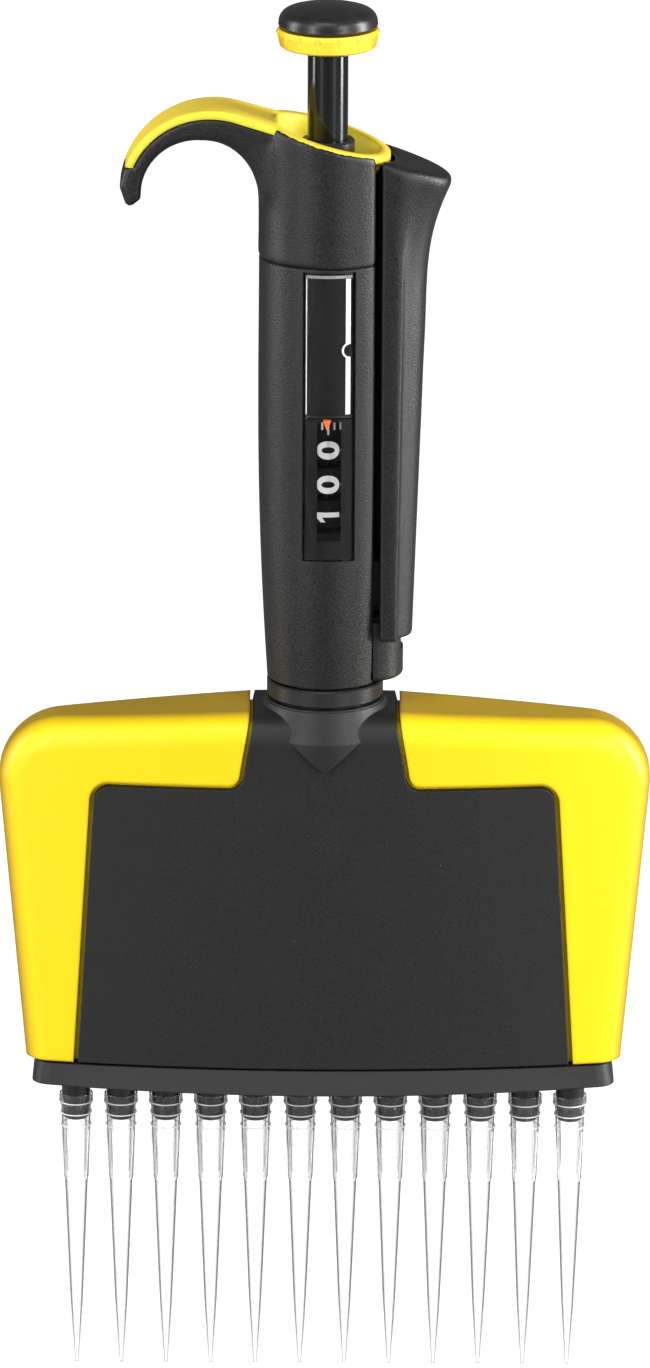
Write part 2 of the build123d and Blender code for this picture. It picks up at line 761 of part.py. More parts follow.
post_spots = [(5.05 * cos(radians(a)), 5.05 * sin(radians(a))) for a in (90, 210, 330)]
with BuildPart() as stop_nut:
    with BuildSketch(Plane.XY.offset(NUT_LOW)):
        Circle(SKIRT_BORE - SLIP)
        Circle(COLLAR_R + 0.2, mode=Mode.SUBTRACT)
        with Locations(*post_spots):
            Circle(0.5, mode=Mode.SUBTRACT)
    extrude(amount=NUT_HIGH - NUT_LOW)
save(stop_nut, "stop_nut")

with BuildPart() as nut_guide_posts:
    with BuildSketch(Plane.XY.offset(WASHER_TOP + 1.6)):
        with Locations(*post_spots):
            Circle(0.42)
    extrude(amount=170.4 - WASHER_TOP - 1.6)
save(nut_guide_posts, "nut_guide_posts")


# ---------------------------------------------------------------- handle grip and display
def handle_form(shrink):
    """Grip from its round lower end to the wider oval under the seam; shrink offsets it inwards."""
    levels = [
        (GRIP_BOTTOM, 11.45, 11.4), (158.0, 12.2, 12.0), (180.0, 13.1, 12.4),
        (206.0, 13.4, 12.6), (SEAM, 13.3, 12.55),
    ]
    with BuildPart() as form:
        for z, a, b in levels:
            with BuildSketch(Plane.XY.offset(z)):
                Ellipse(a - shrink, b - shrink)
        loft()
    return form


def cavity(low, high):
    """Round bore of the handle, closed off by the flat side wall."""
    with BuildPart() as space:
        with BuildSketch(Plane.XY.offset(low)):
            Circle(BORE_R)
            with Locations((BORE_FLAT - 15.0, 0)):
                Rectangle(30.0, 30.0, mode=Mode.INTERSECT)
        extrude(amount=high - low)
    return space


def guide_groove(low, high):
    """Space of the groove in the flat side that guides the button's tongue."""
    return block((FLAT_X - 0.65, TONGUE_Y[0] - 0.15, low), (FLAT_X + 1, TONGUE_Y[1] + 0.15, high))


def window_zone(low, high, inset):
    """Block in front of the handle that bounds a window piece."""
    x0, x1 = WINDOW_X - WINDOW_HALF + inset, WINDOW_X + WINDOW_HALF - inset
    return block((x0, -20.0, low + inset), (x1, -5.0, high - inset))


def shell_piece(outer_shrink, inner_shrink, low, high, inset=0.12):
    """Curved plate that follows the front of the handle."""
    with BuildPart() as piece:
        add(handle_form(outer_shrink).part)
        add(handle_form(inner_shrink).part, mode=Mode.SUBTRACT)
        add(window_zone(low, high, inset).part, mode=Mode.INTERSECT)
    return piece


def make_grip():
    """Hollow grip with a floor, a flat side with the bracket slot, and the window recess."""
    recess = shell_piece(-1.0, 1.8, WINDOW_LOW, WINDOW_HIGH, 0.0)
    with BuildPart() as grip:
        add(handle_form(0.0).part)
        add(block((FLAT_X, -20, 140), (20, 20, 240)).part, mode=Mode.SUBTRACT)
        chamfer(grip.edges().filter_by(lambda e: abs(e.center().X - FLAT_X) < 0.01 and e.length > 40), 0.5)
        chamfer(grip.edges().group_by(Axis.Z)[-1], 0.4)
        add(guide_groove(TONGUE_LOW - EJECT - 0.3, SEAM).part, mode=Mode.SUBTRACT)
        add(cavity(FLOOR_TOP, SEAM).part, mode=Mode.SUBTRACT)
        add(pin(SPIGOT_R, 0, 0, 140, FLOOR_TOP).part, mode=Mode.SUBTRACT)
        add(pin(LINK_R + 0.15, LINK_X, 0, 140, FLOOR_TOP).part, mode=Mode.SUBTRACT)
        add(block((4, -1.6, FLOOR_TOP), (12, 1.6, BRACKET_HIGH + 1.5)).part, mode=Mode.SUBTRACT)
        add(recess.part, mode=Mode.SUBTRACT)
        add(block((-3.0, -15, 173.4), (4.2, -8, 200.0)).part, mode=Mode.SUBTRACT)
    return grip


save(make_grip(), "handle_grip")
save(shell_piece(0.25, 1.1, WINDOW_LOW, WINDOW_SPLIT), "display_window")
save(shell_piece(0.25, 1.1, WINDOW_SPLIT, WINDOW_HIGH), "label_cover")
save(shell_piece(1.15, 1.75, WINDOW_SPLIT, WINDOW_HIGH, 0.4), "label_card")
mask = shell_piece(1.15, 1.75, WINDOW_LOW, WINDOW_SPLIT, 0.4)
with BuildPart() as counter_mask:
    add(mask.part)
    add(block((-1.7, -20, 176.0), (2.9, -5, 200.2)).part, mode=Mode.SUBTRACT)
save(counter_mask, "counter_mask")

# ---------------------------------------------------------------- upper housing with finger hook
TOUCH = degrees(atan2(1, -TOP_SLOPE))  # where the sloping top meets the round back of the hook


def on_circle(x, z, r, angle):
    """Point on a circle, at an angle counted from +X."""
    return (x + r * cos(radians(angle)), z + r * sin(radians(angle)))


def top_zone(inset):
    """Everything below the sloping top and the round back of the hook, moved inwards by inset."""
    r = HOOK_OUTER_R - inset
    touch = on_circle(HOOK_OUTER_X, HOOK_OUTER_Z, r, TOUCH)
    right = (16.0, touch[1] + TOP_SLOPE * (16.0 - touch[0]))
    middle = on_circle(HOOK_OUTER_X, HOOK_OUTER_Z, r, 130)
    left = (HOOK_OUTER_X - r, HOOK_OUTER_Z)
    with BuildPart() as zone:
        with BuildSketch(Plane.XZ):
            with BuildLine():
                Line(right, touch)
                ThreePointArc(touch, middle, left)
                Polyline(left, (left[0], SEAM), (16.0, SEAM), right)
            make_face()
        extrude(amount=20.0, both=True)
    return zone


def hook_form():
    """Finger hook: a curved arm that narrows to a rounded tip, with its long edges rounded."""
    touch = on_circle(HOOK_OUTER_X, HOOK_OUTER_Z, HOOK_OUTER_R, TOUCH)
    back = on_circle(HOOK_OUTER_X, HOOK_OUTER_Z, HOOK_OUTER_R, 172)
    lip = on_circle(HOOK_X, HOOK_Z, HOOK_R, 183)
    root = on_circle(HOOK_X, HOOK_Z, HOOK_R, 0)
    with BuildPart() as arm:
        with BuildSketch(Plane.XZ) as side:
            with BuildLine():
                Line((-8.0, touch[1] + TOP_SLOPE * (-8.0 - touch[0])), touch)
                ThreePointArc(touch, on_circle(HOOK_OUTER_X, HOOK_OUTER_Z, HOOK_OUTER_R, 125), back)
                Polyline(back, (-38.9, 241.0), lip)
                ThreePointArc(lip, on_circle(HOOK_X, HOOK_Z, HOOK_R, 90), root)
                Polyline(root, (-8.0, root[1]), (-8.0, touch[1] + TOP_SLOPE * (-8.0 - touch[0])))
            make_face()
            fillet(side.vertices().sort_by(Axis.Y)[0], 1.1)
        extrude(amount=20.0, both=True)
        with BuildSketch(Plane.XY.offset(236.0)):
            with BuildLine():
                Polyline(
                    (0, HOOK_HALF + 1.2), (-41.0, HOOK_HALF_TIP), (-41.0, -HOOK_HALF_TIP),
                    (0, -HOOK_HALF - 1.2), close=True,
                )
            make_face()
        extrude(amount=30.0, mode=Mode.INTERSECT)
        long_edges = arm.edges().filter_by(lambda e: abs(e.center().Y) > 4.5 and e.center().X < -14)
        fillet(long_edges, 1.2)
    return arm


def bowl(foot, mouth, low):
    """Round funnel that opens upwards: the finger rest's bowl, as a closed form."""
    return turned([(0, low), (foot, low), (mouth, 252.5), (mouth, 266.0), (0, 266.0)])


hook = hook_form()
whole_top = top_zone(0.0)
under_inlay = top_zone(INLAY)
bowl_outside = bowl(8.8, RIM_R, POCKET_FLOOR)
bowl_inside = bowl(7.4, OPENING_R, POCKET_FLOOR - 1.0)


def make_inlay_form():
    """Finger rest inlay with its bowl still filled in."""
    with BuildPart() as form:
        add(hook.part)
        add(pin(RIM_R, 0, 0, 245.0, 266.0).part)
        add(whole_top.part, mode=Mode.INTERSECT)
        add(under_inlay.part, mode=Mode.SUBTRACT)
        add(block((-45, -20, 230), (-30, 20, 249.6)).part, mode=Mode.SUBTRACT)
    with BuildPart() as funnel:
        add(bowl_outside.part)
        add(whole_top.part, mode=Mode.INTERSECT)
    with BuildPart() as filled:
        add(form.part)
        add(funnel.part)
    return filled


inlay_form = make_inlay_form()
with BuildPart() as finger_rest_inlay:
    add(inlay_form.part)
    add(bowl_inside.part, mode=Mode.SUBTRACT)
save(finger_rest_inlay, "finger_rest_inlay")


def make_upper_housing():
    """Top of the handle: oval body, finger hook, seat for the inlay and bore for the guide."""
    with BuildPart() as body:
        with BuildSketch(Plane.XY.offset(SEAM)):
            Ellipse(HOUSING_A, HOUSING_B)
        extrude(amount=35.0)
        add(whole_top.part, mode=Mode.INTERSECT)
        fillet(body.faces().sort_by(Axis.Z)[-1].edges(), 0.9)
        add(block((FLAT_X, -20, 200), (20, 20, 280)).part, mode=Mode.SUBTRACT)
        chamfer(body.edges().filter_by(lambda e: abs(e.center().X - FLAT_X) < 0.01 and e.length > 15), 0.5)
        add(hook.part)
        add(inlay_form.part, mode=Mode.SUBTRACT)
        add(pin(RIM_R, 0, 0, 253.0, 270.0).part, mode=Mode.SUBTRACT)
        add(cavity(SEAM, 243.0).part, mode=Mode.SUBTRACT)
        add(guide_groove(SEAM, TONGUE_TOP + 0.3).part, mode=Mode.SUBTRACT)
        add(pin(5.3, 0, 0, 240.0, 250.0).part, mode=Mode.SUBTRACT)
    return body


save(make_upper_housing(), "upper_housing")
save(turned([
    (TUBE_R + SLIP, 241.2), (7.0, 241.2), (7.0, 243.0), (5.3, 243.0), (5.3, 254.0), (4.9, 254.4),
    (TUBE_R + SLIP, 254.4),
]), "plunger_guide")

with BuildPart() as joining_ring:
    with BuildSketch(Plane.XY.offset(225.5)):
        Circle(BORE_R - SLIP)
        Circle(8.9, mode=Mode.SUBTRACT)
        with Locations((BORE_FLAT - 15.1, 0)):
            Rectangle(30.0, 30.0, mode=Mode.INTERSECT)
    extrude(amount=12.0)
save(joining_ring, "joining_ring")


# ---------------------------------------------------------------- tip ejector
def button_depth(z):
    """Distance of the button's outer face from the flat side: a slow taper, and a flare at the top."""
    flare = max(z - FLARE_LOW, 0.0)
    return 6.5 + 0.0345 * (z - BUTTON_LOW) + 0.0128 * flare**2


def button_form(shrink):
    """Thumb shell beside the handle: narrow below, flaring into a lip at the top."""
    sections = 13
    step = (252.6 - BUTTON_LOW) / (sections - 1)
    with BuildPart() as form:
        for i in range(sections):
            z = BUTTON_LOW + i * step
            a = button_depth(z) - shrink
            b = BUTTON_HALF - shrink
            arc = [(BUTTON_X + a * cos(radians(t)), b * sin(radians(t))) for t in range(90, -91, -30)]
            with BuildSketch(Plane.XY.offset(z)):
                with BuildLine():
                    Spline(*arc, tangents=((1, 0), (-1, 0)))
                    Line(arc[-1], arc[0])
                make_face()
        loft()
    return form


def button_top(inset):
    """Everything above the sloping top of the button."""
    with BuildPart() as zone:
        with BuildSketch(Plane.XZ):
            with BuildLine():
                Polyline((0, 255.4 - inset), (30, 245.5 - inset), (30, 290), (0, 290), close=True)
            make_face()
        extrude(amount=20.0, both=True)
    return zone


def make_button():
    """Hollow thumb shell, open towards the handle and below, with two ribs and a guide tongue."""
    outside = button_form(0.0)
    inside = button_form(BUTTON_WALL)
    with BuildPart() as space:
        add(inside.part)
        add(button_top(BUTTON_WALL).part, mode=Mode.SUBTRACT)
        for side in (-1, 1):
            y0, y1 = sorted((side * BRACKET_HALF, side * (BRACKET_HALF + 1.2)))
            add(block((BUTTON_X, y0, BRACKET_LOW), (30, y1, BRACKET_HIGH)).part, mode=Mode.SUBTRACT)
    with BuildPart() as button:
        add(outside.part)
        add(button_top(0.0).part, mode=Mode.SUBTRACT)
        fillet(button.edges().filter_by(lambda e: e.center().Z > 243 and e.center().X > BUTTON_X + 1), 1.4)
        add(space.part, mode=Mode.SUBTRACT)
        add(block((FLAT_X - 0.3, TONGUE_Y[0], TONGUE_LOW), (11.8, TONGUE_Y[1], TONGUE_TOP)).part)
        add(block((BUTTON_X, TONGUE_Y[0], TONGUE_LOW), (11.8, 8.0, TONGUE_TOP)).part)
        add(pin(RIM_R + 0.7, 0, 0, 248.2, 260.0).part, mode=Mode.SUBTRACT)
    return button


def make_foot():
    """Fixed foot on the flat side; the button shell slides down over it."""
    with BuildPart() as foot:
        with BuildSketch(Plane.XY.offset(146.0)):
            with Locations((FLAT_X, 0)):
                Ellipse(7.2, 6.0, rotation=90)
        extrude(amount=12.0)
        fillet(foot.edges().group_by(Axis.Z)[0], 0.8)
        add(block((-20, -20, 140), (FLAT_X, 20, 170)).part, mode=Mode.SUBTRACT)
        add(block((0, -2.8, 151.6), (20, 2.8, 170)).part, mode=Mode.SUBTRACT)
        add(pin(1.8, SPRING_X, 0, 148.0, 160.0).part, mode=Mode.SUBTRACT)
    return foot


save(make_button(), "ejector_button")
save(make_foot(), "ejector_foot")
save(block((7.0, -BRACKET_HALF, BRACKET_LOW), (15.4, BRACKET_HALF, BRACKET_HIGH)), "ejector_bracket")
save(pin(LINK_R, LINK_X, 0, YOKE_TOP, BRACKET_LOW), "ejector_link")
save(coil(0.25, 1.3, 148.0, BRACKET_LOW, 7, SPRING_X), "ejector_spring")
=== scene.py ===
"""Looks of the twelve-channel pipette: materials, display details, soft studio light and camera."""

import json
import math

import bmesh
import bpy
from mathutils import Matrix, Vector
from mathutils.bvhtree import BVHTree


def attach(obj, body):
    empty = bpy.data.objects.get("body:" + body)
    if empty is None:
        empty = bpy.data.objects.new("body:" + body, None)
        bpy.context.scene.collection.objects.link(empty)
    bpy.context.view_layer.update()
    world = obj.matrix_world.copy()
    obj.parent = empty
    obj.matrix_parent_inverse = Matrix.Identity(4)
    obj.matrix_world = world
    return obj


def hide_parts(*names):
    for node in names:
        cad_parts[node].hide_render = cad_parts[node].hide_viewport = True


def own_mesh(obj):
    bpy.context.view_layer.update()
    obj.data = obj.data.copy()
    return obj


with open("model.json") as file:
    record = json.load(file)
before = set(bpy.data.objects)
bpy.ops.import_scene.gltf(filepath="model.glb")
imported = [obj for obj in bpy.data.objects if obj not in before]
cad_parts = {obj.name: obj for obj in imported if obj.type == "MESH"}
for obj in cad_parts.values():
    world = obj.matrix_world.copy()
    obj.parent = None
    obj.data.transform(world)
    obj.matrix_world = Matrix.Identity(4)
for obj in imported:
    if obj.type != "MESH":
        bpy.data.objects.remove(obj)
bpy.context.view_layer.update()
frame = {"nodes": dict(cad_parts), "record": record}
nodes = frame["nodes"]
MM = 0.001


# ---------------------------------------------------------------- material helpers
class Shader:
    """A node material built step by step around one Principled BSDF."""

    def __init__(self, name):
        self.material = bpy.data.materials.new(name)
        self.material.use_nodes = True
        self.tree = self.material.node_tree
        self.bsdf = self.tree.nodes["Principled BSDF"]
        self.coord = self.tree.nodes.new("ShaderNodeTexCoord").outputs["Object"]
        self.bump_from = None

    def node(self, kind, **values):
        """A node with its inputs and settings filled in; a socket value is linked."""
        made = self.tree.nodes.new(kind)
        for key, value in values.items():
            if key in made.inputs:
                self.feed(made.inputs[key], value)
            else:
                setattr(made, key, value)
        return made

    def feed(self, socket, value):
        if isinstance(value, bpy.types.NodeSocket):
            self.tree.links.new(value, socket)
        else:
            socket.default_value = value

    def set(self, **values):
        """Sets Principled inputs; an underscore in a name stands for a space."""
        for key, value in values.items():
            self.feed(self.bsdf.inputs[key.replace("_", " ")], value)

    def noise(self, size_mm, detail=2.0, stretch=(1, 1, 1)):
        """Noise whose features are about size_mm across."""
        mapping = self.node("ShaderNodeMapping", Vector=self.coord, Scale=stretch)
        made = self.node(
            "ShaderNodeTexNoise", Vector=mapping.outputs["Vector"], Scale=1 / (size_mm * MM), Detail=detail
        )
        return made.outputs["Fac"]

    def ramp(self, fac, stops):
        """Colour ramp from a list of (position, colour or grey)."""
        made = self.node("ShaderNodeValToRGB", Fac=fac)
        elements = made.color_ramp.elements
        while len(elements) < len(stops):
            elements.new(0.5)
        for element, (position, value) in zip(elements, stops):
            element.position = position
            element.color = grey(value) if isinstance(value, (int, float)) else rgb(*value)
        return made.outputs["Color"]

    def bump(self, height, strength, depth_mm):
        """Adds a layer of bump on top of what is there."""
        made = self.node("ShaderNodeBump", Height=height, Strength=strength, Distance=depth_mm * MM)
        if self.bump_from is not None:
            self.feed(made.inputs["Normal"], self.bump_from)
        self.bump_from = made.outputs["Normal"]
        self.feed(self.bsdf.inputs["Normal"], self.bump_from)

    def round_edges(self, radius_mm):
        """Makes edges look broken by a small radius; call it before the first bump."""
        bevel = self.node("ShaderNodeBevel", Radius=radius_mm * MM)
        bevel.samples = 4
        self.bump_from = bevel.outputs["Normal"]

    def math(self, operation, *values):
        made = self.node("ShaderNodeMath", operation=operation)
        for socket, value in zip(made.inputs, values):
            self.feed(socket, value)
        return made.outputs[0]

    def facing(self):
        """0 where the surface faces the viewer, 1 at its outline."""
        return self.node("ShaderNodeLayerWeight", Blend=0.5).outputs["Facing"]

    def light_passes(self, share):
        """Lets light rays through, so that what lies behind the clear wall is lit."""
        rays = self.node("ShaderNodeLightPath").outputs["Is Shadow Ray"]
        clear = self.node("ShaderNodeBsdfTransparent", Color=grey(share))
        mix = self.node("ShaderNodeMixShader")
        self.feed(mix.inputs[0], rays)
        self.feed(mix.inputs[1], self.bsdf.outputs["BSDF"])
        self.feed(mix.inputs[2], clear.outputs["BSDF"])
        output = self.tree.nodes["Material Output"]
        self.feed(output.inputs["Surface"], mix.outputs["Shader"])


def rgb(r, g, b):
    return (r, g, b, 1.0)


def grey(v):
    return (v, v, v, 1.0)


# ---------------------------------------------------------------- materials
def textured_black(name, grain_mm, depth_mm, low, high, rough, sheen=0.5):
    """Moulded black plastic with a spark-eroded grain that glints under soft light."""
    s = Shader(name)
    grain = s.noise(grain_mm, 3.0)
    cloud = s.noise(9.0, 1.0)
    mixed = s.math("MULTIPLY_ADD", cloud, 0.12, grain)
    s.set(Base_Color=s.ramp(mixed, [(0.42, low), (0.72, high)]))
    s.set(Roughness=s.ramp(grain, [(0.3, rough - 0.08), (0.7, rough + 0.1)]))
    s.set(Specular_IOR_Level=sheen, IOR=1.5)
    s.round_edges(0.35)
    s.bump(grain, 0.75, depth_mm)
    return s.material


def satin_black(name, rough=0.32, low=0.010, high=0.017, sheen=0.5, depth_mm=0.006):
    """Smooth moulded black plastic with faint flow marks."""
    s = Shader(name)
    flow = s.noise(3.0, 3.0, (1, 1, 0.3))
    fine = s.noise(0.35, 2.0)
    s.set(Base_Color=s.ramp(flow, [(0.3, low), (0.7, high)]))
    s.set(Roughness=s.ramp(fine, [(0.3, rough - 0.05), (0.7, rough + 0.06)]), Specular_IOR_Level=sheen)
    s.bump(fine, 0.25, depth_mm)
    return s.material


def yellow_plastic(name, base, shade_turned_away, edge, edge_mm):
    """Warm yellow moulded plastic with a silk finish, with painted shade: the colour darkens where the
    surface turns away from the viewer.
    """
    s = Shader(name)
    fine = s.noise(0.3, 3.0)
    # Painted shade: the base colour runs to the shaded colours as the surface turns away towards its outline,
    # with a faint random cloud of tone on top.
    cloud = s.math("MULTIPLY_ADD", s.noise(14.0, 2.0), 0.06, s.facing())
    s.set(Base_Color=s.ramp(cloud, [(0.2, base), (0.5, shade_turned_away), (0.78, edge)]))
    s.set(Roughness=s.ramp(fine, [(0.3, 0.34), (0.7, 0.46)]), Specular_IOR_Level=0.35)
    s.set(Subsurface_Weight=0.1, Subsurface_Radius=(1.0, 0.6, 0.1), Subsurface_Scale=0.0012)
    s.round_edges(edge_mm)
    s.bump(fine, 0.2, 0.012)
    return s.material


def tip_plastic(name, clear=0.985, outline_shade=0.32):
    """Natural polypropylene: clear with a slightly milky body; painted shade darkens the walls towards their
    outline.
    """
    s = Shader(name)
    draw = s.noise(0.6, 3.0, (1, 1, 0.05))
    # Painted shade: the body colour darkens with facing, down to the darkest value at the outline.
    s.set(Base_Color=s.ramp(s.facing(), [(0.0, 0.985), (0.22, 0.965), (0.5, 0.87), (0.8, 0.66), (1.0, outline_shade)]))
    s.set(Transmission_Weight=clear, IOR=1.26)
    s.set(Roughness=s.ramp(draw, [(0.3, 0.0), (0.7, 0.03)]))
    s.light_passes(0.92)
    return s.material


def window_plastic(name="window_clear"):
    """Polished clear acrylic pane."""
    s = Shader(name)
    wave = s.noise(5.0, 2.0)
    s.set(Base_Color=s.ramp(wave, [(0.3, 0.90), (0.7, 0.93)]), Transmission_Weight=1.0, IOR=1.16)
    s.set(Roughness=s.ramp(wave, [(0.3, 0.0), (0.7, 0.01)]))
    s.light_passes(0.9)
    return s.material


def metal(name, colour, rough):
    """Turned or drawn metal with fine tool lines."""
    s = Shader(name)
    lines = s.noise(0.2, 3.0, (1, 1, 8))
    s.set(Base_Color=s.ramp(lines, [(0.2, [0.9 * c for c in colour]), (0.8, colour)]), Metallic=1.0)
    s.set(Roughness=s.ramp(lines, [(0.3, rough), (0.7, rough + 0.15)]))
    s.bump(lines, 0.2, 0.004)
    return s.material


def plain_plastic(name, low, high, rough, grain_mm=0.4):
    """Moulded plastic in a light or strong colour, with slight mottling."""
    s = Shader(name)
    cloud = s.noise(2.5, 3.0)
    fine = s.noise(grain_mm, 2.0)
    s.set(Base_Color=s.ramp(cloud, [(0.3, low), (0.7, high)]))
    s.set(Roughness=s.ramp(fine, [(0.3, rough), (0.7, rough + 0.1)]))
    s.bump(fine, 0.2, 0.01)
    return s.material


MATERIALS = {
    "grip_black": textured_black("grip_black", 0.32, 0.1, 0.002, 0.011, 0.4, 0.5),
    "cover_black": textured_black("cover_black", 0.24, 0.03, 0.007, 0.013, 0.5, 0.45),
    "satin_black": satin_black("satin_black"),
    "gloss_black": satin_black("gloss_black", 0.12, 0.004, 0.008),
    "yellow": yellow_plastic("yellow", (0.96, 0.71, 0.006), (0.70, 0.46, 0.008), (0.40, 0.25, 0.008), 1.0),
    # Brighter, paler copy of the yellow with almost no darkening towards the outline: painted light for the
    # inlay, which takes the light from above.
    "yellow_inlay_painted_lit": yellow_plastic(
        "yellow_inlay_painted_lit", (0.99, 0.84, 0.06), (0.99, 0.82, 0.07), (0.95, 0.70, 0.05), 2.2
    ),
    "yellow_dial": yellow_plastic(
        "yellow_dial", (0.98, 0.76, 0.05), (0.9, 0.62, 0.03), (0.6, 0.36, 0.01), 0.15
    ),
    "window_clear": window_plastic(),
    "label_dark": satin_black("label_dark", 0.5, 0.002, 0.004, 0.2, 0.0005),
    "drum_black": satin_black("drum_black", 0.45, 0.002, 0.004, 0.2, 0.0005),
    "tip_clear": tip_plastic("tip_clear"),
    # Milkier copy of the tip plastic: the beads and ribs show as white lines, a painted highlight for the
    # light that the ridges catch.
    "ridge_painted_glint": tip_plastic("ridge_painted_glint", 0.45, 0.5),
    "steel": metal("steel", (0.62, 0.63, 0.65), 0.25),
    "spring_steel": metal("spring_steel", (0.48, 0.49, 0.51), 0.3),
    "brass": metal("brass", (0.8, 0.6, 0.28), 0.22),
    "natural_plastic": plain_plastic("natural_plastic", (0.66, 0.64, 0.56), (0.75, 0.73, 0.66), 0.4),
    "seal_rubber": plain_plastic("seal_rubber", (0.02, 0.02, 0.02), (0.035, 0.035, 0.035), 0.6),
    "pointer_red": plain_plastic("pointer_red", (0.80, 0.10, 0.02), (0.90, 0.15, 0.03), 0.35),
    "print_white": plain_plastic("print_white", (0.90, 0.90, 0.90), (0.96, 0.96, 0.95), 0.5, 0.2),
    # Mid grey used for the painted highlight along the top edge of the label cover.
    "painted_glint_grey": plain_plastic("painted_glint_grey", (0.16, 0.16, 0.16), (0.26, 0.26, 0.26), 0.4, 0.2),
}
SLOT_OF = {row["node"]: row["material_slot"] for row in frame["record"]["subparts"]}

FINISHES = {"finger_rest_inlay": "yellow_inlay_painted_lit", "dial_ring": "yellow_dial", "ejector_bracket": "satin_black"}
for name, obj in nodes.items():
    finish = FINISHES.get(name, SLOT_OF[name])
    obj.data.materials.clear()
    obj.data.materials.append(MATERIALS[finish])


# ---------------------------------------------------------------- blended housing and button
SINK_REACH, SINK_DEPTH = 0.4, 0.16


def node_tree(node):
    """Search tree over the faces of a CAD node."""
    mesh = nodes[node].data
    corners = [v.co.copy() for v in mesh.vertices]
    return BVHTree.FromPolygons(corners, [tuple(p.vertices) for p in mesh.polygons])


def even_mesh(node, voxel_mm):
    """Mesh of a CAD node with small even faces, which can be smoothed."""
    source = nodes[node]
    remesh = source.modifiers.new("even_mesh", "REMESH")
    remesh.mode = "VOXEL"
    remesh.voxel_size = voxel_mm * MM
    graph = bpy.context.evaluated_depsgraph_get()
    mesh = bpy.data.meshes.new_from_object(source.evaluated_get(graph))
    source.modifiers.remove(remesh)
    mesh.polygons.foreach_set("use_smooth", [True] * len(mesh.polygons))
    return mesh


def sink_under(mesh, cover):
    """Sinks the skin of a mesh where a cover lies over it, so that the cover's edge stays crisp."""
    tree = node_tree(cover)
    normals = [v.normal.copy() for v in mesh.vertices]
    for vert, normal in zip(mesh.vertices, normals):
        if tree.find_nearest(vert.co, SINK_REACH * MM)[0] is not None:
            vert.co -= normal * SINK_DEPTH * MM


def blended(node, body, voxel_mm, rounds, weight_at, cover=None):
    """Piece that stands for a CAD node, its creases blended as much as weight_at says at each point."""
    mesh = even_mesh(node, voxel_mm)
    if cover:
        sink_under(mesh, cover)
    mesh.materials.clear()
    mesh.materials.append(MATERIALS[SLOT_OF[node]])
    piece = bpy.data.objects.new(node + "_blended", mesh)
    bpy.context.collection.objects.link(piece)
    group = piece.vertex_groups.new(name="blend")
    for vert in mesh.vertices:
        group.add([vert.index], weight_at(vert.co / MM), "REPLACE")
    smooth = piece.modifiers.new("blend", "SMOOTH")
    smooth.factor = 0.5
    smooth.iterations = rounds
    smooth.vertex_group = "blend"
    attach(piece, body)
    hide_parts(node)


def ease(value, start, end):
    """0 before start, 1 after end, and a smooth rise between."""
    t = min(max((value - start) / (end - start), 0.0), 1.0)
    return t * t * (3 - 2 * t)


def root_weight(p):
    """Strong where the hook grows out of the housing, faint elsewhere."""
    across = ease(p.x, -25, -18) * (1 - ease(p.x, -5, 2))
    below_top = 1 - ease(p.z + 0.3 * p.x, 250.5, 252.5)
    return max(0.015, across * below_top * ease(p.z, 230, 236))


def button_weight(p):
    """Strong round the lip at the top of the thumb button."""
    return max(0.15, ease(p.z, 228, 240) * ease(p.x, 10.4, 11.6))


def swell(node, amount_mm):
    """Moves the skin of a CAD node in or out by a hair, so that touching faces don't flicker."""
    displace = nodes[node].modifiers.new("swell", "DISPLACE")
    displace.strength = amount_mm * MM
    displace.mid_level = 0.0


blended("upper_housing", "handle", 0.28, 420, root_weight, "finger_rest_inlay")
blended("ejector_button", "ejector", 0.35, 60, button_weight)
swell("label_card", -0.05)


# ---------------------------------------------------------------- springs
def shortening(node, body):
    """Spring that stands for a CAD spring: a copy of its mesh that moves with the body."""
    spring = bpy.data.objects.new(node + "_coils", nodes[node].data.copy())
    bpy.context.collection.objects.link(spring)
    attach(spring, body)
    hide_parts(node)
    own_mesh(spring)


shortening("return_spring", "handle")
shortening("blowout_spring", "handle")
shortening("ejector_spring", "handle")
shortening("carriage_springs", "head")


# ---------------------------------------------------------------- printed details
DRUM_R = 7.6
PRINT_LIFT = 0.03
STRIP_CUTS = 12
STRIP_DEPTH = 0.02
CAP_HEIGHT = 4.5
DIGIT_STEP = math.radians(36)
PRINT_TURN = math.radians(3)
DIGIT_WIDER = 1.26
TICKS = 40
LONG_TICK_EVERY = 4
TICK_HALF_WIDTH = 0.18
BEND_STEP = 0.5


BODIES = frame["record"]["behaviour"]["bodies"]
TIPS_BODY = next(body for body, members in BODIES.items() if "tips" in members)


def new_piece(name, bm, material, body):
    """Turns a bmesh in millimetres into a named piece that moves with a body."""
    for vert in bm.verts:
        vert.co *= MM
    bmesh.ops.recalc_face_normals(bm, faces=bm.faces)
    mesh = bpy.data.meshes.new(name)
    bm.to_mesh(mesh)
    bm.free()
    piece = bpy.data.objects.new(name, mesh)
    bpy.context.collection.objects.link(piece)
    mesh.materials.append(MATERIALS[material])
    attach(piece, body)


def cut_across(bm, axis, step, reach):
    """Cuts the faces along evenly spaced planes so that a bent surface follows its curve."""
    normal = Vector((0, 0, 0))
    normal[axis] = 1.0
    for i in range(-int(reach / step), int(reach / step) + 1):
        geometry = list(bm.verts) + list(bm.edges) + list(bm.faces)
        bmesh.ops.bisect_plane(bm, geom=geometry, plane_co=normal * i * step, plane_no=normal)


